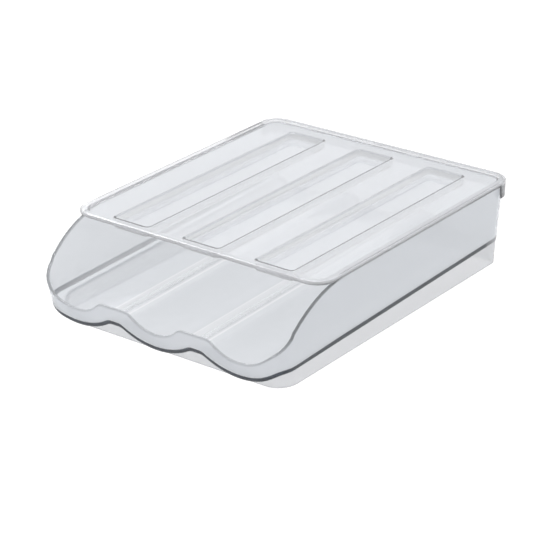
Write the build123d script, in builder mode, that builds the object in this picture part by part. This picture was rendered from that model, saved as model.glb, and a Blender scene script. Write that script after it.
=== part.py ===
from build123d import *
import math
import os

# Egg storage box: a three-lane sloping tray on a low stand, under a lift-off lid.
# Millimetres. +Z is up, the pick-out lip faces -Y, and X runs across the lanes.
# The origin is on the ground, at the middle of the whole box.

# Whole box
overall_length = 302.0
stack_gap = 0.3

# Lanes and floor wave
lane_count = 3
lane_pitch = 77.0
floor_wave_depth = 10.0
floor_ridge_flat = 6.0
floor_ridge_radius = 10.0
floor_front_height = 5.8
floor_slope = 1.35
sheet = 2.4

# Tray walls
wall_draft_side = 4.4
wall_draft_back = 3.6
lip_lean = 10.1
floor_fillet = 2.5
tray_front_radius = 20.0
tray_back_radius = 14.0
rim_height = 72.0
sweep_start = 81.5
sweep_radius = 90.0
sweep_angle = 48.0

# Wavy lip along the front
lip_trough_height = 20.3
lip_wave_depth = 12.7
lip_ridge_flat = 19.5
lip_ridge_radius = 8.0
lip_end_radius = 40.5
lip_end_run = 40.0
lip_end_step = 0.5

# Lid
lid_width = 240.0
lid_length = 254.0
lid_edge = 3.0
lid_edge_round = 0.8
lid_corner_radius = 16.0
lid_border = 6.0
lid_border_raise = 1.5
lid_sheet = 2.2
panel_width = 33.2
panel_pitch = 68.4
panel_front_margin = 11.0
panel_back_margin = 19.5
panel_depth = 6.0
panel_draft = 3.0
panel_corner_radius = 3.0
back_skirt_depth = 10.5
skirt_wall = 1.8
skirt_clearance = 0.4
skirt_return = 17.0

# Stand
stand_side_inset = 11.0
stand_front_inset = 15.0
stand_back_inset = 5.0
stand_front_radius = 17.0
stand_back_radius = 5.0
stand_flare = 1.5
stand_wall = 2.4

# Values that follow from the sizes above
box_height = rim_height + lid_edge
half_length = overall_length / 2
half_width = lid_width / 2
lid_back = half_length
lid_front = lid_back - lid_length
slope_angle = math.radians(floor_slope)
lean_rise = math.tan(math.radians(lip_lean))
lip_top_height = lip_trough_height + lip_wave_depth
lane_offset = (lane_count - 1) / 2
lane_centres = [(index - lane_offset) * lane_pitch for index in range(lane_count)]

# How far cutting shapes run past the box, and the Z share from which a direction is upright
reach = overall_length
clear_height = 2 * box_height
upright_share = 0.5


def tangent_pair(run, rise, first_radius):
    """Angle and second radius of two tangent arcs that climb a rise over a run."""
    angle = 2 * math.atan2(rise, run)
    return angle, run / math.sin(angle) - first_radius


def upright_edges(block):
    """Edges of a block that stand upright, the front ones first."""
    edges = block.edges().filter_by(lambda edge: abs(edge.tangent_at(0.5).Z) > upright_share)
    return edges.sort_by(Axis.Y)


def leaning_block(height, half_x, front, back, front_radius, back_radius):
    """A block on the ground whose walls lean and whose upright edges are round.

    half_x, front and back each hold a value on the ground and one at the height.
    """
    with BuildPart() as block:
        with BuildSketch(Plane.XZ):
            Polygon(
                (-half_x[0], 0),
                (half_x[0], 0),
                (half_x[1], height),
                (-half_x[1], height),
                align=None,
            )
        extrude(amount=reach, both=True)
        with BuildSketch(Plane.YZ):
            Polygon((front[0], 0), (back[0], 0), (back[1], height), (front[1], height), align=None)
        extrude(amount=reach, both=True, mode=Mode.INTERSECT)
        fillet(upright_edges(block)[:2], front_radius)
        fillet(upright_edges(block)[-2:], back_radius)
    return block.part


def outline_of(faces):
    """Edges round a patch of faces, without the seams between them."""
    edges = faces.edges()
    return [edge for edge in edges if sum(edge.is_same(other) for other in edges) == 1]


def wave_points(depth, flat, ridge_radius):
    """Half-width and rise of a trough arc, and the distance to the ridge flat."""
    run = (lane_pitch - flat) / 2
    angle, trough_radius = tangent_pair(run, depth, ridge_radius)
    return trough_radius * math.sin(angle), trough_radius * (1 - math.cos(angle)), run


def lane_wave(trough, depth, flat, ridge_radius, far_height, end_radius=None):
    """Region between a far level and lane troughs and ridges drawn as tangent arcs.

    Draws in the active line builder. The outermost half troughs end in a level ridge,
    or in one wide arc of end_radius that runs up beside the corner.
    """
    arc_half, arc_rise, flat_half = wave_points(depth, flat, ridge_radius)
    ridge = trough + depth
    for centre in lane_centres:
        for side in (-1, 1):
            outermost = centre * side == max(lane_centres)
            if outermost and end_radius:
                end_rise = end_radius - math.sqrt(end_radius**2 - lip_end_run**2)
                end = (centre + side * lip_end_run, trough + end_rise)
                TangentArc((centre, trough), end, tangent=(side, 0))
            else:
                knee = (centre + side * arc_half, trough + arc_rise)
                end = (centre + side * flat_half, ridge)
                dip = TangentArc((centre, trough), knee, tangent=(side, 0))
                TangentArc(knee, end, tangent=dip % 1)
            if outermost:
                Polyline(end, (side * reach, end[1]), (side * reach, far_height), (0, far_height))
            elif side > 0:
                Line(end, (end[0] + flat, ridge))


def floor_region(trough, far_height):
    """Everything between the floor wave and a far level, along the floor's slope."""
    along = Vector(0, math.cos(slope_angle), math.sin(slope_angle))
    with BuildPart() as region:
        with BuildSketch(Plane(origin=(0, -half_length, 0), x_dir=(1, 0, 0), z_dir=-along)):
            with BuildLine():
                lane_wave(trough, floor_wave_depth, floor_ridge_flat, floor_ridge_radius, far_height)
            make_face()
        extrude(amount=2 * reach, both=True)
    return region.part


# Walls of the tray, on the ground and at the rim, which passes inside the lid's skirt
rim_inset = skirt_wall + skirt_clearance
tray_half = (half_width - rim_inset - wall_draft_side, half_width - rim_inset)
tray_back = (lid_back - rim_inset - wall_draft_back, lid_back - rim_inset)
tray_front = (
    -half_length + lip_top_height * lean_rise,
    -half_length - (rim_height - lip_top_height) * lean_rise,
)


def tray_shape(inset):
    """The tray's drafted outer form, or its hollow when it is inset by the wall."""
    return leaning_block(
        rim_height,
        [value - inset for value in tray_half],
        [value + inset for value in tray_front],
        [value - inset for value in tray_back],
        tray_front_radius - inset,
        tray_back_radius - inset,
    )


# Tray: outer form, less the hollow above the floor, the space below it and the rim cuts
with BuildPart() as hollow:
    add(tray_shape(sheet))
    add(floor_region(floor_front_height + sheet, clear_height), mode=Mode.INTERSECT)
    lane_faces = hollow.faces().filter_by(lambda face: face.normal_at().Z < -upright_share)
    fillet(outline_of(lane_faces), floor_fillet)

sweep_turn = math.radians(sweep_angle)
sweep_top = -half_length + sweep_start
sweep_knee = (
    sweep_top - sweep_radius * math.sin(sweep_turn),
    rim_height - sweep_radius * (1 - math.cos(sweep_turn)),
)
sweep_foot = (-half_length, lip_top_height + lip_end_step)

with BuildPart() as side_cut:
    with BuildSketch(Plane.YZ.offset(-reach)):
        with BuildLine():
            brow = TangentArc((sweep_top, rim_height), sweep_knee, tangent=(-1, 0))
            TangentArc(sweep_knee, sweep_foot, tangent=brow % 1)
            Polyline(
                sweep_foot,
                (-reach, sweep_foot[1]),
                (-reach, clear_height),
                (sweep_top, clear_height),
                (sweep_top, rim_height),
            )
        make_face()
    extrude(amount=2 * reach)

with BuildPart() as lip_cut:
    with BuildSketch(Plane.XZ.offset(half_length - tray_front_radius)):
        with BuildLine():
            lane_wave(
                lip_trough_height,
                lip_wave_depth,
                lip_ridge_flat,
                lip_ridge_radius,
                clear_height,
                lip_end_radius,
            )
        make_face()
    extrude(amount=reach)

with BuildPart() as tray:
    add(tray_shape(0))
    add(hollow.part, mode=Mode.SUBTRACT)
    add(floor_region(floor_front_height, -clear_height), mode=Mode.SUBTRACT)
    add([side_cut.part, lip_cut.part], mode=Mode.SUBTRACT)
tray.part.label = "tray"

# Stand: an open ring under the tray, its top edge cut to the floor's underside
stand_half = half_width - stand_side_inset
stand_front = -half_length + stand_front_inset
stand_back = lid_back - stand_back_inset
stand_top = floor_front_height + floor_wave_depth + overall_length * math.tan(slope_angle)


def stand_shape(inset):
    """The stand's outer form, or its open middle when it is inset by the wall."""
    return leaning_block(
        stand_top,
        [stand_half - inset, stand_half + stand_flare - inset],
        [stand_front + inset, stand_front - stand_flare + inset],
        [stand_back - inset, stand_back - inset],
        stand_front_radius - inset,
        stand_back_radius - inset,
    )


with BuildPart() as stand:
    add(stand_shape(0))
    add(stand_shape(stand_wall), mode=Mode.SUBTRACT)
    add(floor_region(floor_front_height - stack_gap, clear_height), mode=Mode.SUBTRACT)
stand.part.label = "stand"

# Lid: a raised border round a field with one sunk panel over each lane
field_top = box_height - lid_border_raise
panel_front = lid_front + panel_front_margin
panel_back = lid_back - panel_back_margin
panel_middle = (panel_front + panel_back) / 2
panel_places = [((index - lane_offset) * panel_pitch, panel_middle) for index in range(lane_count)]


def lid_outline(inset):
    """The lid's outline, drawn in the active sketch, smaller by an inset."""
    with Locations((0, (lid_front + lid_back) / 2)):
        RectangleRounded(lid_width - 2 * inset, lid_length - 2 * inset, lid_corner_radius - inset)


def panels(height, grow, depth):
    """One drafted block for each sunk panel, from a level downwards."""
    width = panel_width + 2 * grow
    length = panel_back - panel_front + 2 * grow
    with BuildPart() as blocks:
        with BuildSketch(Plane.XY.offset(height)):
            with Locations(*panel_places):
                RectangleRounded(width, length, panel_corner_radius + grow)
        extrude(amount=-depth, taper=panel_draft)
    return blocks.part


with BuildPart() as lid:
    with BuildSketch(Plane.XY.offset(rim_height)):
        lid_outline(0)
    extrude(amount=lid_edge)
    with BuildSketch(Plane.XY.offset(field_top)):
        lid_outline(lid_border)
    extrude(amount=lid_border_raise, mode=Mode.SUBTRACT)
    fillet(lid.edges().group_by(Axis.Z)[-1], lid_edge_round)
    add(panels(field_top, lid_sheet, panel_depth + lid_sheet))
    add(panels(field_top, 0, panel_depth), mode=Mode.SUBTRACT)
    with BuildSketch(Plane.XY.offset(rim_height)):
        lid_outline(0)
        with Locations((0, (lid_front + lid_back) / 2)):
            RectangleRounded(
                lid_width - 2 * skirt_wall,
                lid_length - 2 * skirt_wall,
                lid_corner_radius - skirt_wall,
                mode=Mode.SUBTRACT,
            )
        with Locations((0, lid_back - skirt_return)):
            Rectangle(lid_width, lid_length, align=(Align.CENTER, Align.MAX), mode=Mode.SUBTRACT)
    extrude(amount=-back_skirt_depth)
lid.part.label = "lid"

os.makedirs("parts", exist_ok=True)
export_step(stand.part, "parts/stand.step")
export_step(tray.part, "parts/tray.step")
export_step(lid.part, "parts/lid.step")
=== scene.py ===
import math
from functools import partial

import bmesh
import bpy
from bpy.props import FloatProperty, FloatVectorProperty, IntProperty, PointerProperty
from bpy.types import NodeSocket, Operator, Panel, PropertyGroup
from mathutils import Matrix, Vector


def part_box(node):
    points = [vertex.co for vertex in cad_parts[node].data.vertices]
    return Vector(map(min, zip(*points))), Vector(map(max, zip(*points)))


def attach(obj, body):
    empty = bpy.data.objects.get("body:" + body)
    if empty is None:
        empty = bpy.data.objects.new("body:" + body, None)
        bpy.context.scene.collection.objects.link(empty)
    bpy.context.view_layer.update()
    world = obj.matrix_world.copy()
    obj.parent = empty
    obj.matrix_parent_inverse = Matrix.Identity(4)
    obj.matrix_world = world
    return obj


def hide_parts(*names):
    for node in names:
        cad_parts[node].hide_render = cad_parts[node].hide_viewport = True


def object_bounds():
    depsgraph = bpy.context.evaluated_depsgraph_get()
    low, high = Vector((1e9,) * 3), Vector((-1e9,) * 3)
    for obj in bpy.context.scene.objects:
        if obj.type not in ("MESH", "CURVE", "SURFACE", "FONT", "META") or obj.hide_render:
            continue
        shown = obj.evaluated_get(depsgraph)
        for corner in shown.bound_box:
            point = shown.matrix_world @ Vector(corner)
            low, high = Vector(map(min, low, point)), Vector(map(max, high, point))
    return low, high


# Egg storage box: a three-lane tray on a low stand, under a lift-off lid, all of clear plastic.
# Metres. +Z is up, the pick-out lip faces -Y, and X runs across the lanes.
# The origin is on the ground, at the middle of the whole box.

bl_info = {
    "name": "Egg storage box",
    "version": (1, 0, 0),
    "blender": (4, 5, 0),
    "location": "View3D > Sidebar > Egg box",
    "description": "Dresses the frame of a clear three-lane egg storage box",
    "category": "Object",
}

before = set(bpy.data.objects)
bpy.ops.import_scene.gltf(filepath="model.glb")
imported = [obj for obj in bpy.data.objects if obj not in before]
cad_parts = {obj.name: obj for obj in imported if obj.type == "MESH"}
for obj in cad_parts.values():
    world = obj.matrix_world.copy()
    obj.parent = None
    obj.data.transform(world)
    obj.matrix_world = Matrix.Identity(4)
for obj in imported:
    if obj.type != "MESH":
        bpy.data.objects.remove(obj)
cad_low, cad_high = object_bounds()
lid_low, lid_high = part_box("lid")
_, tray_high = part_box("tray")
stand_low, stand_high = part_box("stand")

MM = 0.001
WHITE = (1.0, 1.0, 1.0, 1.0)

# Points closer than this become one, inside a net and where two nets meet
WELD = 0.002 * MM
SEAM_WELD = 0.01 * MM

# Steps of the nets: round corners in plan, straight runs, and rounded edges in section
PLAN_STEPS = 8
LID_PLAN_STEPS = 10
PANEL_PLAN_STEPS = 6
ACROSS_STEPS = 140
TRAY_ALONG_STEPS = 100
STAND_ALONG_STEPS = 40
FILLET_STEPS = 5
RIM_STEPS = 6
FOOT_STEPS = 4
BORDER_STEPS = 4
SOFT_STEPS = 3

# Rows of a wall, as shares of the way up, and passes that settle the rim's height on leaning walls
WALL_ROWS = (0.3, 0.6, 0.85)
RIM_PASSES = 8

# Distance over which the plastic clears of painted shade beside a line, and over the tray's painted dark line
LINE_FADE = 1.0 * MM
DARK_LINE_FADE = 0.5 * MM

# The two value inputs and the output of a Mix node, for each kind of data
MIX_SOCKETS = {"RGBA": (6, 7, 2), "VECTOR": (4, 5, 1)}


def length(name, description, millimetres):
    """A length property whose default is given in millimetres."""
    default = millimetres * MM
    return FloatProperty(
        name=name, description=description, default=default, min=0.0, unit="LENGTH", subtype="DISTANCE",
    )


def angle(name, description, degrees):
    """An angle property whose default is given in degrees."""
    default = math.radians(degrees)
    return FloatProperty(
        name=name, description=description, default=default, unit="ROTATION", subtype="ANGLE",
    )


def position(name, description, millimetres):
    """A place in space whose default is given in millimetres."""
    default = [value * MM for value in millimetres]
    return FloatVectorProperty(
        name=name, description=description, default=default, size=3, unit="LENGTH", subtype="TRANSLATION",
    )


def colour(name, description, value):
    """A colour property with three channels."""
    return FloatVectorProperty(
        name=name, description=description, default=value, min=0.0, max=1.0, size=3, subtype="COLOR",
    )


def factor(name, description, value):
    """A share from 0 to 1."""
    return FloatProperty(
        name=name, description=description, default=value, min=0.0, max=1.0, subtype="FACTOR",
    )


def power(name, description, watts):
    """The power of a lamp."""
    return FloatProperty(
        name=name, description=description, default=watts, min=0.0, unit="POWER", subtype="POWER",
    )


def painted_shade_value(name, description, *values):
    """The painted edge shade of one line, or of one line in several places."""
    if len(values) == 1:
        return FloatProperty(name=name, description=description, default=values[0], min=-1.0, max=1.0)
    return FloatVectorProperty(
        name=name, description=description, default=values, min=-1.0, max=1.0, size=len(values),
    )


class LaneSizes(PropertyGroup):
    """Sizes of the three lanes, shared by the tray's floor and the stand's top edge."""

    count: IntProperty(name="Lanes", description="Odd number of lanes side by side", default=3, min=1)
    pitch: length("Lane pitch", "Distance from one trough to the next", 77.0)
    depth: length("Wave depth", "Height of a ridge over its trough", 10.0)
    ridge_flat: length("Ridge flat", "Level width on top of a ridge", 6.0)
    ridge_radius: length("Ridge radius", "Radius of a ridge's shoulders", 10.0)
    front_height: length("Front height", "Underside of a trough at the front lip", 5.8)
    slope: angle("Slope", "Climb of the lanes towards the back", 1.35)


class TraySizes(PropertyGroup):
    """Sizes of the tray moulding and of the painted shade line round its foot."""

    sheet: length("Sheet", "Wall and floor thickness", 2.4)
    side_draft: length("Side draft", "Narrowing of each side wall down to the ground", 4.4)
    back_draft: length("Back draft", "Lean of the back wall down to the ground", 3.6)
    lip_lean: angle("Lip lean", "Outward lean of the front lip", 10.1)
    front_radius: length("Front corner", "Plan radius of the front corners", 20.0)
    back_radius: length("Back corner", "Plan radius of the back corners", 14.0)
    sweep_start: length("Sweep start", "Distance behind the lip where the rim starts to fall", 81.5)
    sweep_radius: length("Sweep radius", "Radius of the rim's brow", 90.0)
    sweep_angle: angle("Sweep angle", "Steepest fall of the rim", 48.0)
    rim_blend: length("Rim blend", "Height over which the side rim and the lip run together", 6.0)
    lip_trough: length("Lip height", "Height of the lip over a trough", 20.3)
    lip_depth: length("Lip wave", "Height of the lip's wave", 12.7)
    lip_flat: length("Lip flat", "Level width of the lip over a ridge", 19.5)
    lip_radius: length("Lip shoulder", "Radius of the lip's shoulders", 8.0)
    lip_end_radius: length("Lip end", "Radius of the lip's rise into the corner", 40.5)
    floor_fillet: length("Floor fillet", "Inside radius between floor and walls", 2.5)
    foot_round: length("Foot round", "Outside radius of the lower edge", 1.4)
    # Painted shade: the dark line round the foot and its fades below stand in for the dark edge of clear
    # plastic, and change side by side with the light
    painted_foot_line: length("Dark line", "Height of the dark line over the foot's rounding", 2.3)
    line_run: length("Line run", "Distance behind the front corners where the line has changed", 60.0)
    left_fade: factor("Left line fade", "How much the dark line fades along the left wall", 0.25)
    right_growth: factor("Right line growth", "How much the dark line grows along the right wall", 0.3)
    back_fade: length("Back fade", "Distance from the back over which the dark line fades", 30.0)
    back_share: factor("Back line", "Share of the dark line that is left at the back", 0.3)


class LidSizes(PropertyGroup):
    """Sizes of the lid moulding."""

    corner: length("Corner radius", "Plan radius of the lid's corners", 16.0)
    edge: length("Edge", "Thickness of the border", 3.0)
    border: length("Border", "Width of the raised border", 6.0)
    raise_height: length("Border raise", "Height of the border over the field", 1.5)
    sheet: length("Sheet", "Wall thickness of a sunk panel", 2.2)
    panel_width: length("Panel width", "Width of a sunk panel", 33.2)
    panel_pitch: length("Panel pitch", "Distance from one panel to the next", 68.4)
    panel_front: length("Panel front margin", "Distance from the lid's front edge to a panel", 11.0)
    panel_back: length("Panel back margin", "Distance from a panel to the lid's back edge", 19.5)
    panel_depth: length("Panel depth", "Depth of a sunk panel", 6.0)
    panel_draft: angle("Panel draft", "Draft of a panel's walls", 3.0)
    panel_corner: length("Panel corner", "Plan radius of a panel's corners", 3.0)
    skirt_wall: length("Skirt wall", "Thickness of the back skirt", 1.8)
    skirt_return: length("Skirt return", "How far the skirt wraps round the corners", 17.0)
    skirt_end: length("Skirt end", "Length over which each end of the skirt drops", 0.4)
    edge_round: length("Edge round", "Radius of the polished edges", 0.8)
    edge_fade: length("Edge fade", "Width over which the lines beside the edges fade", 0.5)
    edge_line: length("Edge line", "Width of the dark line beside a step", 1.0)


class StandSizes(PropertyGroup):
    """Sizes of the ring under the tray."""

    wall: length("Wall", "Wall thickness", 2.4)
    front_radius: length("Front corner", "Plan radius of the front corners", 17.0)
    back_radius: length("Back corner", "Plan radius of the back corners", 5.0)
    flare: length("Flare", "Widening of the ring towards its top", 1.5)
    gap: length("Seat gap", "Gap under the tray", 0.3)
    edge_round: length("Edge round", "Radius of the edges", 0.5)


class PaintedEdgeShading(PropertyGroup):
    """Painted shade and light along the edges: 0 is a piece's plain tint, 1 the painted dark edge shade, and
    below 0 the tint turns white as painted light.
    """

    rim: painted_shade_value("Level rim", "Top of the side walls where it is level", 0.9)
    right_sweep: painted_shade_value("Right sweep", "Falling rim on the right", 0.8)
    left_sweep: painted_shade_value("Left sweep", "Falling rim on the left", 0.5)
    lip: painted_shade_value("Lip", "Wavy lip and the rim of the back wall", 0.15)
    foot: painted_shade_value("Foot", "Lower edge of the tray", 1.0)
    stand_foot: painted_shade_value("Stand foot", "Edges of the stand on the ground", 0.1)
    stand_seat: painted_shade_value("Stand seat", "Edges of the stand under the tray", 0.25)
    # Painted light: whitens the stand's left wall so the lanes seen through it look paler
    stand_left_painted_light: painted_shade_value("Stand's left wall", "Wall of the stand on the left", -0.9)
    field_line: painted_shade_value("Field line", "Line beside the lid's border: faint, strong", 0.1, 0.5)
    border_step: painted_shade_value("Border step", "Foot of the lid's border: faint, strong", 0.3, 0.8)
    border_wall: painted_shade_value("Border wall", "Inner wall of the lid's border: faint, strong", 0.125, 0.42)
    border_inside: painted_shade_value("Border inside", "Inner rounding of the border: faint, strong", 0.1, 0.25)
    border_outside: painted_shade_value("Border outside", "Outer rounding of the border: near, far sides", 0.1, 0.3)
    skirt: painted_shade_value("Skirt", "Lower edges of the lid and its skirt: faint, strong", 0.1, 0.8)
    # Panel walls: the darker values are painted shade, and below zero the other walls are whitened as painted
    # light against the shade of the recess
    panel_edge: painted_shade_value("Panel edge", "Edge of a sunk panel: front, right, others", 0.9, 0.72, 0.18)
    panel_inside: painted_shade_value("Panel inside", "Inner panel walls: front, right, others", 0.6, 0.25, -0.8)
    panel_outside: painted_shade_value("Panel outside", "Outer panel walls: front, right, others", 0.0, 0.25, -0.8)


class PlasticFinish(PropertyGroup):
    """Colours of the clear plastic, with its painted edge shade and painted highlight lines."""

    tray_tint: colour("Tray tint", "Clear grey of the tray", (0.74, 0.76, 0.79))
    lid_tint: colour("Lid tint", "Clear grey of the lid", (0.92, 0.93, 0.955))
    stand_tint: colour("Stand tint", "Clear grey of the stand", (0.74, 0.75, 0.77))
    tray_clear: factor("Tray clearness", "Share of light that passes through a face of the tray", 0.62)
    lid_clear: factor("Lid clearness", "Share of light that passes through a face of the lid", 0.8)
    stand_clear: factor("Stand clearness", "Share of light that passes through a face of the stand", 0.6)
    shade: factor("Shade", "How much lamp light each face lets through", 0.95)
    # Painted shade: this dark slate stands in for the dark lines that refraction draws along clear plastic's
    # edges
    painted_shade_tint: colour("Edge tint", "Dark slate that gathers along the edges", (0.008, 0.011, 0.017))
    # Painted highlights: light lines and paler bands along the lanes, standing in for reflections on the
    # ridges
    trough_line: length("Trough line", "Distance of a lane's first light line from its middle", 9.0)
    ridge_line: length("Ridge line", "Distance of a lane's second light line from its ridge", 2.0)
    line_width: length("Line width", "Half-width of the light lines", 1.6)
    painted_highlight_share: factor("Line share", "Strength of the light lines", 0.6)
    painted_band_share: factor("Band share", "Paleness of the band between a lane's light lines", 0.25)
    floor_share: factor("Floor share", "How level a face has to be to carry the lines", 0.8)
    roughness: factor("Roughness", "Polish of the plastic", 0.03)
    ior: FloatProperty(
        name="IOR", description="Index of refraction of the plastic", default=1.45, min=1.0, max=2.0,
    )


class StageSettings(PropertyGroup):
    """The floor, the surroundings, the lamps and the camera."""

    floor_tone: colour("Floor", "Pale floor colour", (0.86, 0.86, 0.86))
    floor_reach: length("Floor reach", "Half the width of the floor", 6000.0)
    floor_drop: length("Floor drop", "Depth of the floor under the box", 0.2)
    floor_glow: factor("Floor glow", "Light that whitens the floor for the camera", 0.3)
    sky_light: factor("Sky light", "Light of the surroundings on the box and the floor", 0.9)
    key_place: position("Key lamp place", "Middle of the overhead lamp", (-200, 200, 1600))
    key_power: power("Key lamp", "Power of the large overhead lamp", 3.0)
    side_place: position("Side lamp place", "Middle of the lamp on the left", (-1300, 400, 700))
    side_power: power("Side lamp", "Power of the large lamp on the left", 6.0)
    lamp_size: length("Lamp size", "Width of each lamp", 1200.0)
    aim: position("Aim", "Point in the middle of the picture", (31.81, -43.74, 37.5))
    azimuth: angle("Azimuth", "Camera direction round the box", 38.003)
    elevation: angle("Elevation", "Camera height over the horizon", 24.484)
    roll: angle("Roll", "Camera tilt", -0.977)
    distance: length("Distance", "From the aim point to the camera", 1648.0)
    lens: FloatProperty(
        name="Lens", description="Focal length", default=142.55, min=1.0, unit="CAMERA",
        subtype="DISTANCE_CAMERA",
    )
    sensor: FloatProperty(
        name="Sensor", description="Width of the sensor", default=36.0, min=1.0, unit="CAMERA",
        subtype="DISTANCE_CAMERA",
    )


class EggBox(PropertyGroup):
    """Everything that a user may change."""

    lanes: PointerProperty(type=LaneSizes)
    tray: PointerProperty(type=TraySizes)
    lid: PointerProperty(type=LidSizes)
    stand: PointerProperty(type=StandSizes)
    edges: PointerProperty(type=PaintedEdgeShading)
    finish: PointerProperty(type=PlasticFinish)
    stage: PointerProperty(type=StageSettings)


# Outlines and nets

def lerp(a, b, share):
    """The value at a share of the way from a to b."""
    return a + (b - a) * share


def clamp(value, low=0.0, high=1.0):
    """The value, kept between two limits."""
    return min(high, max(low, value))


def shares(steps):
    """Even shares between 0 and 1, without the ends."""
    return [step / steps for step in range(1, steps)]


def quarter(steps):
    """Sines and cosines of even steps through a quarter turn, from 0 to 90 degrees."""
    turns = [math.pi / 2 * step / steps for step in range(steps + 1)]
    return [(math.sin(turn), math.cos(turn)) for turn in turns]


def arc(centre, radius, start, end, steps):
    """Points on an arc, angles in degrees, both ends included."""
    points = []
    for step in range(steps + 1):
        turn = math.radians(lerp(start, end, step / steps))
        points.append(Vector((centre[0] + radius * math.cos(turn), centre[1] + radius * math.sin(turn))))
    return points


class Outline:
    """A rounded rectangle in plan, as a front row and a back row of matching points."""

    def __init__(self, half, front, back, front_radius, back_radius, steps=PLAN_STEPS, across=(), along=()):
        self.along = along
        self.front_row = self.row(half, front, front_radius, 1, steps, across)
        self.back_row = self.row(half, back, back_radius, -1, steps, across)

    def row(self, half, edge, radius, side, steps, across):
        """One row from left to right: a corner, points at shares across, and a corner."""
        inner = half - radius
        left = arc((-inner, edge + side * radius), radius, 180, 180 + side * 90, steps)
        right = arc((inner, edge + side * radius), radius, -side * 90, 0, steps)
        middle = [left[-1].lerp(right[0], share) for share in across]
        return left + middle + right

    def at(self, column, share):
        """A point of a column, at a share of the way from the front row to the back row."""
        return self.front_row[column].lerp(self.back_row[column], share)

    def ring(self):
        """All boundary points, once round from the left end of the front row."""
        last = len(self.front_row) - 1
        right = [self.at(last, share) for share in self.along]
        left = [self.at(0, share) for share in reversed(self.along)]
        return self.front_row + right + self.back_row[::-1] + left


class Net:
    """A mesh made of rings of points, which hold the values that the lane wave and the plastic read, among
    them the painted edge shade.
    """

    def __init__(self):
        self.bm = bmesh.new()
        self.share = self.bm.verts.layers.float.new("wave_share")
        # The tone layer holds painted shade along the edges, and painted light below zero
        self.tone = self.bm.verts.layers.float.new("painted_edge_shading")
        self.top = self.bm.verts.layers.float_vector.new("top_place")

    def point(self, low, top, height, share=0.0, tone=0.0):
        """A point over its place on the ground, with its place at rim height beside it."""
        vert = self.bm.verts.new((low.x, low.y, height))
        vert[self.share] = share
        vert[self.tone] = tone
        vert[self.top] = (top.x, top.y, 0.0)
        return vert

    def ring(self, low, top, heights, share=0.0, tone=0.0):
        """One closed row of points; heights, share and tone, the painted edge shade, are numbers or one value
        a point.
        """
        count = len(low)
        rows = [values if isinstance(values, list) else [values] * count for values in (heights, share, tone)]
        return [self.point(*values) for values in zip(low, top, *rows)]

    def bridge(self, first, second):
        """Faces between two rings that have as many points."""
        count = len(first)
        for k in range(count):
            corners = (first[k], first[(k + 1) % count], second[(k + 1) % count], second[k])
            self.bm.faces.new(corners).smooth = True

    def bridge_all(self, rings, closed=False):
        """Faces between each ring and the next, and from the last to the first when closed."""
        for first, second in zip(rings, rings[1:]):
            self.bridge(first, second)
        if closed:
            self.bridge(rings[-1], rings[0])

    def sheet(self, low, top, ring, height, share):
        """Fills the inside of a ring with the grid of its outline."""
        places = [0.0, *low.along, 1.0]
        last_column = len(low.front_row) - 1
        last_row = len(places) - 1
        front = [(i, 0) for i in range(last_column + 1)]
        right = [(last_column, j) for j in range(1, last_row)]
        back = [(i, last_row) for i in reversed(range(last_column + 1))]
        left = [(0, j) for j in reversed(range(1, last_row))]
        grid = dict(zip(front + right + back + left, ring))
        for i in range(1, last_column):
            for j in range(1, last_row):
                grid[i, j] = self.point(low.at(i, places[j]), top.at(i, places[j]), height, share)
        for i in range(last_column):
            for j in range(last_row):
                corners = (grid[i, j], grid[i + 1, j], grid[i + 1, j + 1], grid[i, j + 1])
                self.bm.faces.new(corners).smooth = True

    def fill(self, rings):
        """Fills a level face between an outer ring and any inner rings."""
        edges = []
        for ring in rings:
            for pair in zip(ring, ring[1:] + ring[:1]):
                edges.append(self.bm.edges.get(pair) or self.bm.edges.new(pair))
        made = bmesh.ops.triangle_fill(self.bm, edges=edges, use_beauty=True, normal=(0, 0, 1))
        for item in made["geom"]:
            if isinstance(item, bmesh.types.BMFace):
                item.smooth = False

    def finish(self, name):
        """Welds the net and links it as an object at the origin."""
        bmesh.ops.remove_doubles(self.bm, verts=self.bm.verts, dist=WELD)
        bmesh.ops.dissolve_degenerate(self.bm, edges=self.bm.edges, dist=WELD)
        bmesh.ops.recalc_face_normals(self.bm, faces=self.bm.faces)
        mesh = bpy.data.meshes.new(name)
        self.bm.to_mesh(mesh)
        self.bm.free()
        piece = bpy.data.objects.new(name, mesh)
        bpy.context.scene.collection.objects.link(piece)
        return piece


# Nodes

def feed(tree, socket, value):
    """Gives an input a value, or links it to another node's output."""
    if isinstance(value, NodeSocket):
        tree.links.new(value, socket)
    else:
        socket.default_value = value


def math_node(tree, operation, *values):
    """The result of a Math node on numbers or on other nodes' outputs."""
    node = tree.nodes.new("ShaderNodeMath")
    node.operation = operation
    for slot, value in enumerate(values):
        feed(tree, node.inputs[slot], value)
    return node.outputs[0]


def mix_node(tree, kind, share, first, second):
    """The result of a Mix node: the first value at share 0, the second at share 1."""
    node = tree.nodes.new("ShaderNodeMix")
    node.data_type = kind
    node.clamp_factor = kind == "RGBA"
    first_slot, second_slot, result = MIX_SOCKETS[kind]
    feed(tree, node.inputs[0], share)
    feed(tree, node.inputs[first_slot], first)
    feed(tree, node.inputs[second_slot], second)
    return node.outputs[result]


def mix_shaders(tree, share, first, second, output):
    """Links two shaders to an output: the first at share 0, the second at share 1."""
    mix = tree.nodes.new("ShaderNodeMixShader")
    tree.links.new(share, mix.inputs[0])
    tree.links.new(first.outputs[0], mix.inputs[1])
    tree.links.new(second.outputs[0], mix.inputs[2])
    tree.links.new(mix.outputs[0], output.inputs["Surface"])


def split_node(tree, vector):
    """The x, y and z of a vector."""
    node = tree.nodes.new("ShaderNodeSeparateXYZ")
    feed(tree, node.inputs[0], vector)
    return node.outputs


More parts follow.
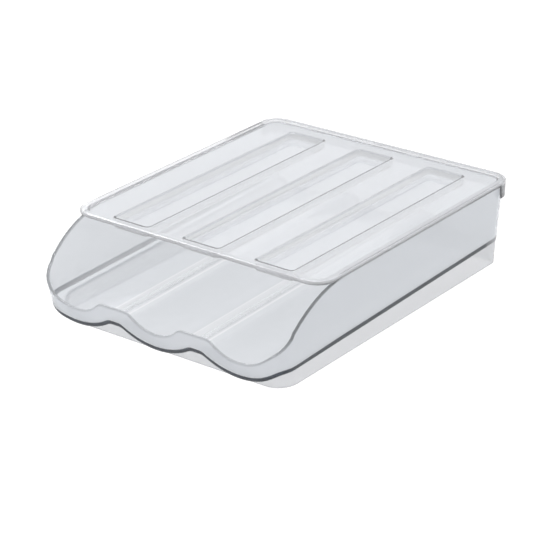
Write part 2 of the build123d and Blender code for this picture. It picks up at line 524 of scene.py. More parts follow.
def attribute_node(tree, name, kind):
    """A named attribute of the mesh, in a geometry tree."""
    node = tree.nodes.new("GeometryNodeInputNamedAttribute")
    node.data_type = kind
    node.inputs["Name"].default_value = name
    return node.outputs["Attribute"]


def node_group(name, kind, inputs, output):
    """An empty node group, the sockets that give its inputs, and the one that takes its result.

    Each input is a name, a kind of socket and a value, and the output is a name and a kind of socket.
    """
    tree = bpy.data.node_groups.new(name, kind)
    for label, socket_kind, value in inputs:
        socket = tree.interface.new_socket(name=label, in_out="INPUT", socket_type=socket_kind)
        if value is not None:
            socket.default_value = value
    label, socket_kind = output
    tree.interface.new_socket(name=label, in_out="OUTPUT", socket_type=socket_kind)
    given = tree.nodes.new("NodeGroupInput").outputs
    result = tree.nodes.new("NodeGroupOutput").inputs[0]
    return tree, given, result


def geometry_tree(name, inputs):
    """An empty geometry tree with one mesh in, one mesh out and named sizes."""
    mesh = ("Geometry", "NodeSocketGeometry")
    return node_group(name, "GeometryNodeTree", [(*mesh, None), *inputs], mesh)


def finish_tree(tree, geometry, material, result):
    """Ends a geometry tree in Realize Instances and Set Material."""
    realize = tree.nodes.new("GeometryNodeRealizeInstances")
    paint = tree.nodes.new("GeometryNodeSetMaterial")
    paint.inputs["Material"].default_value = material
    tree.links.new(geometry, realize.inputs[0])
    tree.links.new(realize.outputs[0], paint.inputs["Geometry"])
    tree.links.new(paint.outputs[0], result)
    return tree


def lane_wave_tree(material, sizes):
    """Geometry tree that lifts a flat net onto the lane wave and leans its walls."""
    inputs = [(name, "NodeSocketFloat", 0.0) for name in sizes]
    tree, given, result = geometry_tree("lane_wave", inputs)
    calc = partial(math_node, tree)
    place = tree.nodes.new("GeometryNodeInputPosition").outputs[0]
    x, y, height = split_node(tree, place)

    # A trough arc that meets a shoulder arc, measured from the middle of the nearest lane
    run = calc("DIVIDE", calc("SUBTRACT", given["Lane Pitch"], given["Ridge Flat"]), 2.0)
    turn = calc("MULTIPLY", calc("ARCTAN2", given["Wave Depth"], run), 2.0)
    sine = calc("SINE", turn)
    trough_radius = calc("SUBTRACT", calc("DIVIDE", run, sine), given["Ridge Radius"])
    arc_half = calc("MULTIPLY", trough_radius, sine)
    lane = calc("ROUND", calc("DIVIDE", x, given["Lane Pitch"]))
    offset = calc("ABSOLUTE", calc("SUBTRACT", x, calc("MULTIPLY", lane, given["Lane Pitch"])))

    def drop(radius, chord):
        """How far an arc falls away from its tangent at a distance."""
        square = calc("SUBTRACT", calc("MULTIPLY", radius, radius), calc("MULTIPLY", chord, chord))
        return calc("SUBTRACT", radius, calc("SQRT", calc("MAXIMUM", square, 0.0)))

    trough = drop(trough_radius, offset)
    shoulder = calc("MAXIMUM", calc("SUBTRACT", run, offset), 0.0)
    ridge = calc("SUBTRACT", given["Wave Depth"], drop(given["Ridge Radius"], shoulder))
    in_trough = calc("LESS_THAN", offset, arc_half)
    on_ridge = calc("SUBTRACT", 1.0, in_trough)
    wave = calc("ADD", calc("MULTIPLY", trough, in_trough), calc("MULTIPLY", ridge, on_ridge))

    # Each point rises by its own share of the sloping floor under it
    climb = calc("MULTIPLY", calc("SUBTRACT", y, given["Front Edge"]), given["Floor Rise"])
    floor = calc("ADD", calc("ADD", given["Floor Height"], wave), climb)
    share = attribute_node(tree, "wave_share", "FLOAT")
    lifted = calc("ADD", height, calc("MULTIPLY", floor, share))

    # Between the ground and rim height a point moves from its low place to its top place
    lean_share = calc("DIVIDE", lifted, given["Rim Height"])
    top_place = attribute_node(tree, "top_place", "FLOAT_VECTOR")
    leaned = split_node(tree, mix_node(tree, "VECTOR", lean_share, place, top_place))
    moved = tree.nodes.new("ShaderNodeCombineXYZ")
    for slot, value in enumerate((leaned[0], leaned[1], lifted)):
        tree.links.new(value, moved.inputs[slot])
    move = tree.nodes.new("GeometryNodeSetPosition")
    tree.links.new(given["Geometry"], move.inputs["Geometry"])
    tree.links.new(moved.outputs[0], move.inputs["Position"])
    return finish_tree(tree, move.outputs[0], material, result)


def panel_row_tree(material):
    """Geometry tree that repeats a sunk panel across the lid."""
    inputs = [("Panels", "NodeSocketInt", 1), ("Panel Pitch", "NodeSocketFloat", 0.0)]
    tree, given, result = geometry_tree("panel_row", inputs)
    calc = partial(math_node, tree)
    half_pitch_left = calc("MULTIPLY", given["Panel Pitch"], -0.5)
    first = calc("MULTIPLY", calc("SUBTRACT", given["Panels"], 1.0), half_pitch_left)
    start = tree.nodes.new("ShaderNodeCombineXYZ")
    step = tree.nodes.new("ShaderNodeCombineXYZ")
    tree.links.new(first, start.inputs[0])
    tree.links.new(given["Panel Pitch"], step.inputs[0])
    line = tree.nodes.new("GeometryNodeMeshLine")
    tree.links.new(given["Panels"], line.inputs["Count"])
    tree.links.new(start.outputs[0], line.inputs["Start Location"])
    tree.links.new(step.outputs[0], line.inputs["Offset"])
    copies = tree.nodes.new("GeometryNodeInstanceOnPoints")
    tree.links.new(line.outputs[0], copies.inputs["Points"])
    tree.links.new(given["Geometry"], copies.inputs["Instance"])
    return finish_tree(tree, copies.outputs[0], material, result)


def run_tree(piece, tree, sizes):
    """Runs a geometry tree on a piece and leaves the result as its plain mesh."""
    modifier = piece.modifiers.new("shape", "NODES")
    modifier.node_group = tree
    identifiers = {item.name: item.identifier for item in tree.interface.items_tree if item.in_out == "INPUT"}
    for name, value in sizes.items():
        modifier[identifiers[name]] = value
    bpy.context.view_layer.update()
    graph = bpy.context.evaluated_depsgraph_get()
    mesh = bpy.data.meshes.new_from_object(piece.evaluated_get(graph))
    piece.modifiers.remove(modifier)
    piece.data = mesh
    return piece


# Plastic

def painted_shading_group():
    """Painted shade and light: colours from the clear tint to the painted dark edge shade by the mesh's edge
    value, or to white below zero as painted light.
    """
    if "painted_edge_shading" in bpy.data.node_groups:
        return bpy.data.node_groups["painted_edge_shading"]
    inputs = [("Clear", "NodeSocketColor", WHITE), ("Edge", "NodeSocketColor", (0.0, 0.0, 0.0, 1.0))]
    tree, given, result = node_group("painted_edge_shading", "ShaderNodeTree", inputs, ("Color", "NodeSocketColor"))
    attribute = tree.nodes.new("ShaderNodeAttribute")
    attribute.attribute_name = "painted_edge_shading"
    value = attribute.outputs["Fac"]
    darkened = mix_node(tree, "RGBA", value, given["Clear"], given["Edge"])
    below_zero = math_node(tree, "MULTIPLY", value, -1.0)
    tree.links.new(mix_node(tree, "RGBA", below_zero, darkened, WHITE), result)
    return tree


def painted_highlight_group(sizes):
    """A mask of painted highlights: two thin light lines along each lane and the paler band between them,
    standing in for reflections on the ridges.
    """
    inputs = [(name, "NodeSocketFloat", 1.0) for name in sizes]
    tree, given, result = node_group("painted_lane_highlights", "ShaderNodeTree", inputs, ("Mask", "NodeSocketFloat"))
    calc = partial(math_node, tree)
    x = split_node(tree, tree.nodes.new("ShaderNodeTexCoord").outputs["Object"])[0]
    upward = split_node(tree, tree.nodes.new("ShaderNodeNewGeometry").outputs["Normal"])[2]
    lane = calc("ROUND", calc("DIVIDE", x, given["Pitch"]))
    offset = calc("SUBTRACT", x, calc("MULTIPLY", lane, given["Pitch"]))

    def line(middle):
        """1 in the middle of a painted highlight line, 0 beside it."""
        away = calc("DIVIDE", calc("ABSOLUTE", calc("SUBTRACT", offset, middle)), given["Line Width"])
        return calc("MAXIMUM", calc("SUBTRACT", 1.0, away), 0.0)

    past_trough = calc("GREATER_THAN", offset, given["Trough Line"])
    before_ridge = calc("LESS_THAN", offset, given["Ridge Line"])
    band = calc("MULTIPLY", calc("MULTIPLY", past_trough, before_ridge), given["Painted Band Share"])
    lines = calc("ADD", line(given["Trough Line"]), line(given["Ridge Line"]))
    lines = calc("MAXIMUM", calc("MULTIPLY", lines, given["Painted Highlight Share"]), band)
    level = calc("GREATER_THAN", calc("ABSOLUTE", upward), given["Floor Share"])
    tree.links.new(calc("MULTIPLY", lines, level), result)
    return tree


def with_painted_highlights(tree, tint, lanes, finish):
    """A tint that is whitened by painted highlights along the lanes' light lines and bands."""
    sizes = {
        "Pitch": lanes.pitch,
        "Trough Line": finish.trough_line,
        "Ridge Line": lanes.pitch / 2 - finish.ridge_line,
        "Line Width": finish.line_width,
        "Painted Highlight Share": finish.painted_highlight_share,
        "Painted Band Share": finish.painted_band_share,
        "Floor Share": finish.floor_share,
    }
    highlight_mask = tree.nodes.new("ShaderNodeGroup")
    highlight_mask.node_tree = painted_highlight_group(sizes)
    for name, value in sizes.items():
        highlight_mask.inputs[name].default_value = value
    return mix_node(tree, "RGBA", highlight_mask.outputs[0], tint, WHITE)


def clear_plastic(name, tint, clearness, finish, lanes=None):
    """Polished clear plastic with painted shade along its edges, which lets lamp light through.

    With lanes given, it also carries their painted highlight lines.
    """
    material = bpy.data.materials.new(name)
    material.use_nodes = True
    tree = material.node_tree
    body = tree.nodes["Principled BSDF"]
    body.inputs["Transmission Weight"].default_value = clearness
    body.inputs["IOR"].default_value = finish.ior
    body.inputs["Roughness"].default_value = finish.roughness
    # Painted shade along the edges, and painted light below zero, from the mesh's edge values
    edges = tree.nodes.new("ShaderNodeGroup")
    edges.node_tree = painted_shading_group()
    edges.inputs["Clear"].default_value = (*tint, 1.0)
    edges.inputs["Edge"].default_value = (*finish.painted_shade_tint, 1.0)
    base = edges.outputs[0]
    if lanes is not None:
        base = with_painted_highlights(tree, base, lanes, finish)
    tree.links.new(base, body.inputs["Base Color"])
    rays = tree.nodes.new("ShaderNodeLightPath").outputs
    soft_rays = math_node(tree, "MAXIMUM", rays["Is Shadow Ray"], rays["Is Diffuse Ray"])
    clear = tree.nodes.new("ShaderNodeBsdfTransparent")
    clear.inputs["Color"].default_value = (finish.shade, finish.shade, finish.shade, 1.0)
    mix_shaders(tree, soft_rays, body, clear, tree.nodes["Material Output"])
    return material


# Shapes that several pieces share

def rim_height(box):
    """Height of the tray's level rim, on which the lid's border lies."""
    return lid_high.z - box.lid.edge


def wave_sizes(box):
    """Inputs of the lane wave tree."""
    return {
        "Lane Pitch": box.lanes.pitch,
        "Wave Depth": box.lanes.depth,
        "Ridge Flat": box.lanes.ridge_flat,
        "Ridge Radius": box.lanes.ridge_radius,
        "Floor Height": box.lanes.front_height,
        "Floor Rise": math.tan(box.lanes.slope),
        "Front Edge": cad_low.y,
        "Rim Height": rim_height(box),
    }


def lay_on_wave(piece, box, material):
    """Lifts a flat net onto the lane wave and leaves it as a plain mesh."""
    sizes = wave_sizes(box)
    return run_tree(piece, lane_wave_tree(material, sizes), sizes)


def outer_lane(lanes):
    """Distance from the middle of the box to the middle of an outermost lane."""
    return (lanes.count - 1) / 2 * lanes.pitch


def tangent_arcs(run, rise, first_radius):
    """Angle and second radius of two tangent arcs that climb a rise over a run."""
    turn = 2 * math.atan2(rise, run)
    return turn, run / math.sin(turn) - first_radius


def arc_drop(radius, chord):
    """How far an arc falls away from its tangent at a distance."""
    return radius - math.sqrt(max(radius**2 - chord**2, 0.0))


def sweep_rim(box, y):
    """Height of the side walls' rim: level, a brow arc, then a hollow arc to the lip."""
    tray = box.tray
    rim = rim_height(box)
    run = cad_low.y + tray.sweep_start - y
    if run <= 0:
        return rim
    knee_run = tray.sweep_radius * math.sin(tray.sweep_angle)
    knee_drop = tray.sweep_radius * (1 - math.cos(tray.sweep_angle))
    if run <= knee_run:
        return rim - arc_drop(tray.sweep_radius, run)
    foot = tray.lip_trough + tray.lip_depth
    chord = Vector((tray.sweep_start - knee_run, rim - knee_drop - foot))
    lean = math.atan2(chord.y, chord.x)
    radius = chord.length / 2 / math.sin(tray.sweep_angle - lean)
    centre_run = knee_run + radius * math.sin(tray.sweep_angle)
    centre_height = rim - knee_drop + radius * math.cos(tray.sweep_angle)
    return centre_height - math.sqrt(max(radius**2 - (centre_run - run) ** 2, 0.0))


def lip_rim(box, x):
    """Height of the front lip: a wave over the lanes that rises into the corners."""
    tray, lanes = box.tray, box.lanes
    run = (lanes.pitch - tray.lip_flat) / 2
    turn, trough_radius = tangent_arcs(run, tray.lip_depth, tray.lip_radius)
    beyond = abs(x) - outer_lane(lanes)
    if beyond > 0:
        return tray.lip_trough + arc_drop(tray.lip_end_radius, min(beyond, tray.lip_end_radius))
    offset = abs(x - lanes.pitch * round(x / lanes.pitch))
    if offset < trough_radius * math.sin(turn):
        return tray.lip_trough + arc_drop(trough_radius, offset)
    return tray.lip_trough + tray.lip_depth - arc_drop(tray.lip_radius, max(run - offset, 0.0))


def rim_at(box, x, y):
    """Height of the tray's rim over a place in plan, smooth where the side rim meets the lip."""
    side = sweep_rim(box, y)
    if y > cad_low.y + box.tray.front_radius:
        return side
    lip = lip_rim(box, x)
    blend = box.tray.rim_blend
    overlap = max(blend - abs(side - lip), 0.0)
    return min(side, lip) - overlap**2 / (4 * blend)


# Tray

def tray_outlines(box, inset, across, along):
    """The tray's outline on the ground and at rim height, inset by a distance."""
    tray = box.tray
    lean = math.tan(tray.lip_lean)
    lip_top = tray.lip_trough + tray.lip_depth
    ground_front = cad_low.y + lip_top * lean
    sizes = (
        (tray_high.x - tray.side_draft, ground_front, tray_high.y - tray.back_draft),
        (tray_high.x, ground_front - rim_height(box) * lean, tray_high.y),
    )
    radii = (tray.front_radius - inset, tray.back_radius - inset)
    return [
        Outline(half - inset, front + inset, back - inset, *radii, across=across, along=along)
        for half, front, back in sizes
    ]


def rim_profile(box, low, top):
    """Height of the rim over each point of the tray's ring, whose place leans with the height."""
    rim = rim_height(box)
    heights = []
    for ground_place, top_place in zip(low, top):
        height = rim
        for _ in range(RIM_PASSES):
            place = ground_place.lerp(top_place, height / rim)
            height = rim_at(box, place.x, place.y)
        heights.append(height)
    return heights


def painted_rim_shade(box, heights, places):
    """Painted shade of each point of the rim: faint on the lip, darker up the swept sides, more on the right
    than on the left.
    """
    tray, edges = box.tray, box.edges
    nearly_level = rim_height(box) - 2 * MM
    wave_half = outer_lane(box.lanes) + tray.lip_end_radius / 4
    fade_height = 2 * tray.lip_depth
    tones = []
    for height, place in zip(heights, places):
        full = edges.right_sweep if place.x > 0 else edges.left_sweep
        if height > nearly_level:
            full = edges.rim
        if place.y > tray_high.y - tray.back_radius or abs(place.x) < wave_half:
            full = edges.lip
        climb = clamp((height - tray.lip_trough) / fade_height)
        tones.append(lerp(edges.lip, full, climb))
    return tones


def painted_foot_line(box, places):
    """Painted shade value and upper height of the painted dark line at each point of the tray's foot: it
    fades on the left and at the back and grows on the right.
    """
    tray = box.tray
    tones, heights = [], []
    for place in places:
        beside = clamp((place.y - cad_low.y - tray.front_radius) / tray.line_run)
        value = box.edges.foot * clamp((tray_high.y - place.y) / tray.back_fade, tray.back_share)
        height = tray.painted_foot_line
        if place.x < 0:
            value *= 1.0 - tray.left_fade * beside
        if place.x > 0:
            height *= 1.0 + tray.right_growth * beside
        tones.append(value)
        heights.append(tray.foot_round + height)
    return tones, heights


def make_tray(box, material):
    """The tray moulding as one closed sheet: floor, fillet, walls, rim and lower edge."""
    tray = box.tray
    sheet, fillet, foot = tray.sheet, tray.floor_fillet, tray.foot_round
    across, along = shares(ACROSS_STEPS), shares(TRAY_ALONG_STEPS)
    outline = partial(tray_outlines, box, across=across, along=along)
    net = Net()

    def ring(inset, heights, share=0.0, tone=0.0):
        """A row round the tray, inset by a distance."""
        low, top = outline(inset)
        return net.ring(low.ring(), top.ring(), heights, share, tone)

    low, top = (shape.ring() for shape in outline(sheet / 2))
    rim_heights = rim_profile(box, low, top)
    # Painted shade along the rim and the foot, carried in each ring's tone
    rim_line = painted_rim_shade(box, rim_heights, top)
    painted_foot_shade, line_heights = painted_foot_line(box, low)

    def wall(inset, foot_height, climb):
        """A wall row at a share of the way from the floor to the rim's shoulder."""
        heights = [lerp(foot_height, height - sheet / 2, climb) for height in rim_heights]
        return ring(inset, heights, 1.0 - climb)

    def below_rim(inset, drop, tone=0.0):
        """A row that follows the rim's shoulder, or lies a distance below it."""
        return ring(inset, [height - sheet / 2 - drop for height in rim_heights], 0.0, tone)

    rows = []
    for sine, cosine in quarter(FILLET_STEPS):
        rows.append(ring(sheet + fillet * (1 - sine), sheet + fillet * (1 - cosine), 1.0))
    rows.append(ring(sheet, sheet + fillet + LINE_FADE, 1.0))
    rows += [wall(sheet, sheet + fillet, climb) for climb in WALL_ROWS]
    rows.append(below_rim(sheet, LINE_FADE))
    for step in range(RIM_STEPS + 1):
        turn = math.pi * step / RIM_STEPS
        rows.append(below_rim(sheet / 2 * (1 + math.cos(turn)), -sheet / 2 * math.sin(turn), rim_line))
    rows.append(below_rim(0.0, LINE_FADE))
    rows += [wall(0.0, foot, climb) for climb in reversed(WALL_ROWS)]
    rows.append(ring(0.0, [height + DARK_LINE_FADE for height in line_heights], 1.0))
    rows.append(ring(0.0, line_heights, 1.0, painted_foot_shade))
    for sine, cosine in reversed(quarter(FOOT_STEPS)):
        rows.append(ring(foot * (1 - sine), foot * (1 - cosine), 1.0, painted_foot_shade))
    rows.append(ring(foot + LINE_FADE, 0.0, 1.0))
    net.bridge_all(rows)
    net.sheet(*outline(sheet + fillet), rows[0], sheet, 1.0)
    net.sheet(*outline(foot + LINE_FADE), rows[-1], 0.0, 1.0)
    return lay_on_wave(net.finish("tray_moulding"), box, material)


# Stand

def make_stand(box, material):
    """The ring under the tray, its top edge following the lane wave."""
    stand, edges = box.stand, box.edges
    soft, seat = stand.edge_round, -stand.gap
    flare_at_rim = stand.flare * rim_height(box) / stand_high.z
    half = stand_high.x - stand.flare
    front = stand_low.y + stand.flare
    across, along = shares(ACROSS_STEPS), shares(STAND_ALONG_STEPS)
    net = Net()

    def ring(inset, height, share, tone):
        """One row, where the plain rows are whitened along the left wall: painted light that lifts the darker
        lanes seen through that wall.
        """
        radii = (stand.front_radius - inset, stand.back_radius - inset)
        low, top = (
            Outline(
                half + flare - inset, front - flare + inset, stand_high.y - inset, *radii,
                across=across, along=along,
            ).ring()
            for flare in (0.0, flare_at_rim)
        )
        left_side = stand.front_radius - half
        tones = [tone or (edges.stand_left_painted_light if place.x < left_side else 0.0) for place in low]
        return net.ring(low, top, height, share, tones)

    # Each row of a wall face: how far inside the face, height, share of the lane wave, painted edge shade
    profile = (
        (soft, 0.0, 0.0, edges.stand_foot),
        (0.0, soft, 0.0, edges.stand_foot),
        (0.0, soft + LINE_FADE, 0.0, 0.0),
        (0.0, (seat - soft) / 2, 0.5, 0.0),
        (0.0, seat - soft - LINE_FADE, 1.0, 0.0),
        (0.0, seat - soft, 1.0, edges.stand_seat),
        (soft, seat, 1.0, edges.stand_seat),
    )
    outside = [ring(depth, *row) for depth, *row in profile]
    inside = [ring(stand.wall - depth, *row) for depth, *row in reversed(profile)]
    net.bridge_all(outside + inside, closed=True)
    return lay_on_wave(net.finish("stand_ring"), box, material)


# Lid

def border_columns(lid):
    """Shares along the lid's straight sides, the last two where the skirt's end drops."""
    straight = lid_high.y - lid_low.y - 2 * lid.corner
    skirt_share = (lid_high.y - lid.skirt_return - lid_low.y - lid.corner) / straight
    return [*shares(4), skirt_share - lid.skirt_end / straight, skirt_share]


def past_straight(point, lid):
    """How far a point of the border lies past the straight sides, to the right, left, front and back."""
    reaches = (
        point.x - lid_high.x, -point.x - lid_high.x, lid_low.y - point.y, point.y - lid_high.y,
    )
    return [max(0.0, reach + lid.corner) for reach in reaches]


def strong_side(point, lid, radius):
    """Where the painted edge shade is strong: 1 along the right side, rising into the front left corner, 0
    along the other sides.
    """
    right, left, front, _ = (past / radius for past in past_straight(point, lid))
    return max(right, 2 * left * front)


def far_side(point, lid, radius):
    """Where the painted shade is darker: 1 along the left and back sides, 0 along the others."""
    _, left, _, back = (past / radius for past in past_straight(point, lid))
    return min(1.0, max(left, back))


def make_border(net, box):
    """The lid's raised border and back skirt; gives its innermost rings on top and underneath."""
    lid, edges = box.lid, box.edges
    soft, border, wall = lid.edge_round, lid.border, lid.skirt_wall
    seat, top = rim_height(box), lid_high.z
    field = top - lid.raise_height
    skirt_line = lid_high.y - lid.skirt_return - lid.skirt_end / 2
    along = border_columns(lid)

    def shape(inset):
        """The lid's outline, inset by a distance."""
        radius = lid.corner - inset
        return Outline(
            lid_high.x - inset, lid_low.y + inset, lid_high.y - inset, radius, radius,
            steps=LID_PLAN_STEPS, across=(0.5,), along=along,
        ).ring()

    def ring(inset, heights, tones=(0.0, 0.0), side=strong_side):
        """One row, whose painted edge shade goes from the first tone to the second by its side."""
        points = shape(inset)
        values = [lerp(*tones, side(point, lid, lid.corner - inset)) for point in points]
        return net.ring(points, points, heights, 0.0, values)

    depths = [seat - lid_low.z if point.y > skirt_line else 0.0 for point in shape(0.0)]

    def skirt(inset, lifts):
        """A row along the lower edge, lifted over it."""
        heights = [seat - depth + lift for depth, lift in zip(depths, lifts)]
        return ring(inset, heights, edges.skirt)

    flat = [0.0] * len(depths)
    line = border + soft / 2 + lid.edge_line
    rows = [
        ring(line + lid.edge_fade, field),
        ring(line, field, edges.field_line),
        ring(border + soft / 2, field, edges.border_step),
        ring(border, field + soft / 2, edges.border_step),
        ring(border, top - soft, edges.border_wall),
    ]
    for sine, cosine in quarter(SOFT_STEPS)[1:]:
        rows.append(ring(border - soft * (1 - cosine), top - soft * (1 - sine), edges.border_inside))
    for sine, cosine in quarter(BORDER_STEPS):
        rows.append(ring(soft * (1 - sine), top - soft * (1 - cosine), edges.border_outside, far_side))
    rows += [
        skirt(0.0, [soft] * len(depths)),
        skirt(soft / 2, flat),
        skirt(wall - soft / 2, flat),
        skirt(wall, [min(soft / 2, depth) for depth in depths]),
        ring(wall, seat, edges.skirt),
        ring(wall + lid.edge_fade, seat),
    ]
    net.bridge_all(rows)
    return rows[0], rows[-1]


def make_lid(box, material):
    """The lid: a bordered plate with a back skirt and a row of sunk panels."""
    lid, edges = box.lid, box.edges
    soft, sheet, depth = lid.edge_round, lid.sheet, lid.panel_depth
    seat = rim_height(box)
    field = lid_high.z - lid.raise_height
    panel_low = lid_low.y + lid.panel_front
    panel_high = lid_high.y - lid.panel_back
    panel_places = [(k - (box.lanes.count - 1) / 2) * lid.panel_pitch for k in range(box.lanes.count)]

    def side_of_panel(point):
        """0 for a panel's front side, 1 for its right side, 2 for the others; each side has its own painted
        shade or light.
        """
        if point.y < panel_low + lid.panel_corner / 2:
            return 0
        return 1 if point.x > (lid.panel_width - lid.panel_corner) / 2 else 2

    def panel_ring(target, centre, grow, height, tones=(0.0, 0.0, 0.0)):
        """A panel's outline, grown by a distance, round a middle on the X axis."""
        radius = lid.panel_corner + grow
        points = Outline(
            lid.panel_width / 2 + grow, panel_low - grow, panel_high + grow, radius, radius,
            steps=PANEL_PLAN_STEPS,
        ).ring()
        values = [tones[side_of_panel(point)] for point in points]
        places = [point + Vector((centre, 0.0)) for point in points]
        return target.ring(places, places, height, 0.0, values)

    brim = soft + lid.edge_line + lid.edge_fade
    lower_grow = sheet + soft / 2
    net = Net()
    upper, lower = make_border(net, box)
    net.fill([upper] + [panel_ring(net, place, brim, field) for place in panel_places])
    net.fill([lower] + [panel_ring(net, place, lower_grow, seat) for place in panel_places])
    plate = net.finish("lid_moulding")

    pan = Net()
    pan_ring = partial(panel_ring, pan, 0.0)
    draft = math.tan(lid.panel_draft)
    floor = field - depth
    inside = [
        pan_ring(brim, field),
        pan_ring(soft + lid.edge_line, field, edges.panel_edge),
        pan_ring(soft, field, edges.panel_edge),
    ]
    for sine, cosine in quarter(SOFT_STEPS)[1:]:
        inside.append(pan_ring(soft * (1 - sine), field - soft * (1 - cosine), edges.panel_edge))
    below = soft + LINE_FADE
    inside.append(pan_ring(-draft * below, field - below, edges.panel_inside))
    inside.append(pan_ring(-draft * (depth - soft), floor + soft, edges.panel_inside))
    for sine, cosine in quarter(SOFT_STEPS)[1:]:
        inside.append(pan_ring(-draft * depth - soft * (1 - cosine), floor + soft * (1 - sine)))
    pan.bridge_all(inside)
    pan.fill([inside[-1]])

    full = depth + sheet
    under = field - full
    outside = [
        pan_ring(lower_grow, seat),
        pan_ring(sheet - draft * (field - seat), seat - soft / 2, edges.panel_outside),
        pan_ring(sheet - draft * (full - soft), under + soft, edges.panel_outside),
    ]
    for sine, cosine in quarter(SOFT_STEPS)[1:]:
        outside.append(pan_ring(sheet - draft * full - soft * (1 - cosine), under + soft * (1 - sine)))
    pan.bridge_all(outside)
    pan.fill([outside[-1]])
    row_sizes = {"Panels": box.lanes.count, "Panel Pitch": lid.panel_pitch}
    panels = run_tree(pan.finish("lid_panels"), panel_row_tree(material), row_sizes)
    return join_pieces(plate, panels, material)


def join_pieces(first, second, material):
    """Welds the second piece into the first where their rings meet."""
    whole = bmesh.new()
    whole.from_mesh(first.data)
    whole.from_mesh(second.data)
    bmesh.ops.remove_doubles(whole, verts=whole.verts, dist=SEAM_WELD)
    bmesh.ops.recalc_face_normals(whole, faces=whole.faces)
    whole.to_mesh(first.data)
    whole.free()
    bpy.data.objects.remove(second)
    first.data.materials.clear()
    first.data.materials.append(material)
    for face in first.data.polygons:
        face.material_index = 0
    return first


# Steps that build the box

def check_closed(piece):
    """Stops the build when a piece's skin has an open edge."""
    skin = bmesh.new()
    skin.from_mesh(piece.data)
    open_edges = sum(not edge.is_manifold for edge in skin.edges)
    skin.free()
    if open_edges:
        raise RuntimeError(f"{piece.name} is open at {open_edges} edges")


def place_piece(piece, body, node):
    """Seats a finished piece on its body in place of its CAD node."""
    check_closed(piece)
    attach(piece, body)
    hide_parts(node)


class EGGBOX_OT_build_tray(Operator):
    """Build the three-lane tray moulding"""

    bl_idname = "eggbox.build_tray"
    bl_label = "Build tray"

    def execute(self, context):
        box = context.scene.egg_box
        finish = box.finish
        material = clear_plastic("tray_clear_plastic", finish.tray_tint, finish.tray_clear, finish, box.lanes)
        place_piece(make_tray(box, material), "box", "tray")
        return {"FINISHED"}


class EGGBOX_OT_build_stand(Operator):
    """Build the ring that the tray stands on"""

    bl_idname = "eggbox.build_stand"
    bl_label = "Build stand"

    def execute(self, context):
        box = context.scene.egg_box
        finish = box.finish
        material = clear_plastic("stand_clear_plastic", finish.stand_tint, finish.stand_clear, finish)
        place_piece(make_stand(box, material), "box", "stand")
        return {"FINISHED"}


class EGGBOX_OT_build_lid(Operator):
    """Build the lid with its border, back skirt and sunk panels"""

    bl_idname = "eggbox.build_lid"
    bl_label = "Build lid"

    def execute(self, context):
        box = context.scene.egg_box
        finish = box.finish
        material = clear_plastic("lid_clear_plastic", finish.lid_tint, finish.lid_clear, finish)
        place_piece(make_lid(box, material), "cover", "lid")
        return {"FINISHED"}


# Stage

def seen_rays(tree):
    """1 for camera, glossy and transmission rays, 0 for the rest."""
    rays = tree.nodes.new("ShaderNodeLightPath").outputs
    seen = math_node(tree, "MAXIMUM", rays["Is Camera Ray"], rays["Is Glossy Ray"])
    return math_node(tree, "MAXIMUM", seen, rays["Is Transmission Ray"])


def make_floor(stage):
    """A wide pale floor that shows white and keeps the soft shadow."""
    reach, height = stage.floor_reach, -stage.floor_drop
    sides = ((-1, -1), (1, -1), (1, 1), (-1, 1))
    corners = [(x * reach, y * reach, height) for x, y in sides]
    mesh = bpy.data.meshes.new("floor")
    mesh.from_pydata(corners, [], [range(len(corners))])
    floor = bpy.data.objects.new("floor", mesh)
    bpy.context.scene.collection.objects.link(floor)
    material = bpy.data.materials.new("pale_floor")
    material.use_nodes = True
    tree = material.node_tree
    body = tree.nodes["Principled BSDF"]
    body.inputs["Base Color"].default_value = (*stage.floor_tone, 1.0)
    body.inputs["Roughness"].default_value = 1.0
    body.inputs["Specular IOR Level"].default_value = 0.0
    body.inputs["Emission Color"].default_value = WHITE
    glow = math_node(tree, "MULTIPLY", seen_rays(tree), stage.floor_glow)
    tree.links.new(glow, body.inputs["Emission Strength"])
    floor.data.materials.append(material)


def make_world(stage):
    """White surroundings for the camera and the plastic, softer light on the floor."""
    world = bpy.data.worlds.new("studio")
    bpy.context.scene.world = world
    world.use_nodes = True
    tree = world.node_tree
    soft = tree.nodes["Background"]
    soft.inputs["Color"].default_value = WHITE
    soft.inputs["Strength"].default_value = stage.sky_light
    white = tree.nodes.new("ShaderNodeBackground")
    white.inputs["Color"].default_value = WHITE
    white.inputs["Strength"].default_value = 1.0
    mix_shaders(tree, seen_rays(tree), soft, white, tree.nodes["World Output"])


def add_lamp(name, place, aim, size, watts):
    """A square soft lamp aimed at a point."""
    lamp = bpy.data.lights.new(name, "AREA")
    lamp.shape = "SQUARE"
    lamp.size = size
    lamp.energy = watts
    holder = bpy.data.objects.new(name, lamp)
    holder.location = place
    holder.rotation_mode = "QUATERNION"
    holder.rotation_quaternion = (Vector(place) - aim).to_track_quat("Z", "Y")
    bpy.context.scene.collection.objects.link(holder)


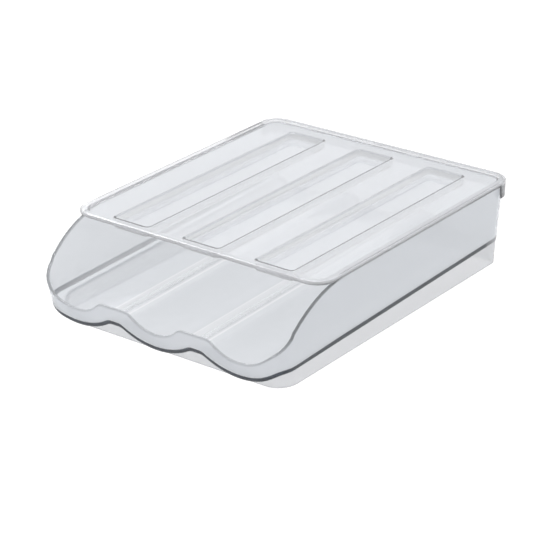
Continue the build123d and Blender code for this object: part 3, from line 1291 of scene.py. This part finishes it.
def add_camera(stage):
    """A camera that looks at the aim point from the stage's angles, tilted by its roll."""
    level = math.cos(stage.elevation)
    sine, cosine = math.sin(stage.azimuth), math.cos(stage.azimuth)
    back = Vector((sine * level, -cosine * level, math.sin(stage.elevation)))
    right = Vector((cosine, sine, 0.0))
    up = back.cross(right)
    rolled_right = right * math.cos(stage.roll) + up * math.sin(stage.roll)
    rolled_up = up * math.cos(stage.roll) - right * math.sin(stage.roll)
    turned = Matrix((rolled_right, rolled_up, back)).transposed().to_4x4()
    data = bpy.data.cameras.new("camera")
    data.lens = stage.lens
    data.sensor_width = stage.sensor
    camera = bpy.data.objects.new("camera", data)
    camera.matrix_world = Matrix.Translation(Vector(stage.aim) + back * stage.distance) @ turned
    bpy.context.scene.collection.objects.link(camera)
    bpy.context.scene.camera = camera


class EGGBOX_OT_build_stage(Operator):
    """Build the floor, the surroundings, the lamps and the camera"""

    bl_idname = "eggbox.build_stage"
    bl_label = "Build stage"

    def execute(self, context):
        stage = context.scene.egg_box.stage
        make_floor(stage)
        make_world(stage)
        middle = (cad_low + cad_high) / 2
        add_lamp("key_lamp", stage.key_place, middle, stage.lamp_size, stage.key_power)
        add_lamp("side_lamp", stage.side_place, middle, stage.lamp_size, stage.side_power)
        add_camera(stage)
        context.scene.view_settings.view_transform = "Standard"
        return {"FINISHED"}


class EGGBOX_PT_panel(Panel):
    """Sidebar panel with the steps that build the box and every value that shapes it"""

    bl_idname = "EGGBOX_PT_panel"
    bl_label = "Egg storage box"
    bl_space_type = "VIEW_3D"
    bl_region_type = "UI"
    bl_category = "Egg box"

    def draw(self, context):
        for step in STEPS:
            self.layout.operator(step.bl_idname)
        box = context.scene.egg_box
        for group_name in box.__annotations__:
            group = getattr(box, group_name)
            section = self.layout.column(align=True)
            section.label(text=group_name.capitalize())
            for name in group.__annotations__:
                section.prop(group, name)


GROUPS = (LaneSizes, TraySizes, LidSizes, StandSizes, PaintedEdgeShading, PlasticFinish, StageSettings, EggBox)
STEPS = (EGGBOX_OT_build_tray, EGGBOX_OT_build_stand, EGGBOX_OT_build_lid, EGGBOX_OT_build_stage)
CLASSES = (*GROUPS, *STEPS, EGGBOX_PT_panel)


def register():
    """Registers every class and the scene's settings."""
    for item in CLASSES:
        bpy.utils.register_class(item)
    bpy.types.Scene.egg_box = PointerProperty(type=EggBox)


def unregister():
    """Takes the settings and every class away again."""
    del bpy.types.Scene.egg_box
    for item in reversed(CLASSES):
        bpy.utils.unregister_class(item)


def main():
    """Builds every piece and the stage."""
    register()
    bpy.ops.eggbox.build_tray()
    bpy.ops.eggbox.build_stand()
    bpy.ops.eggbox.build_lid()
    bpy.ops.eggbox.build_stage()


if __name__ == "__main__":
    main()
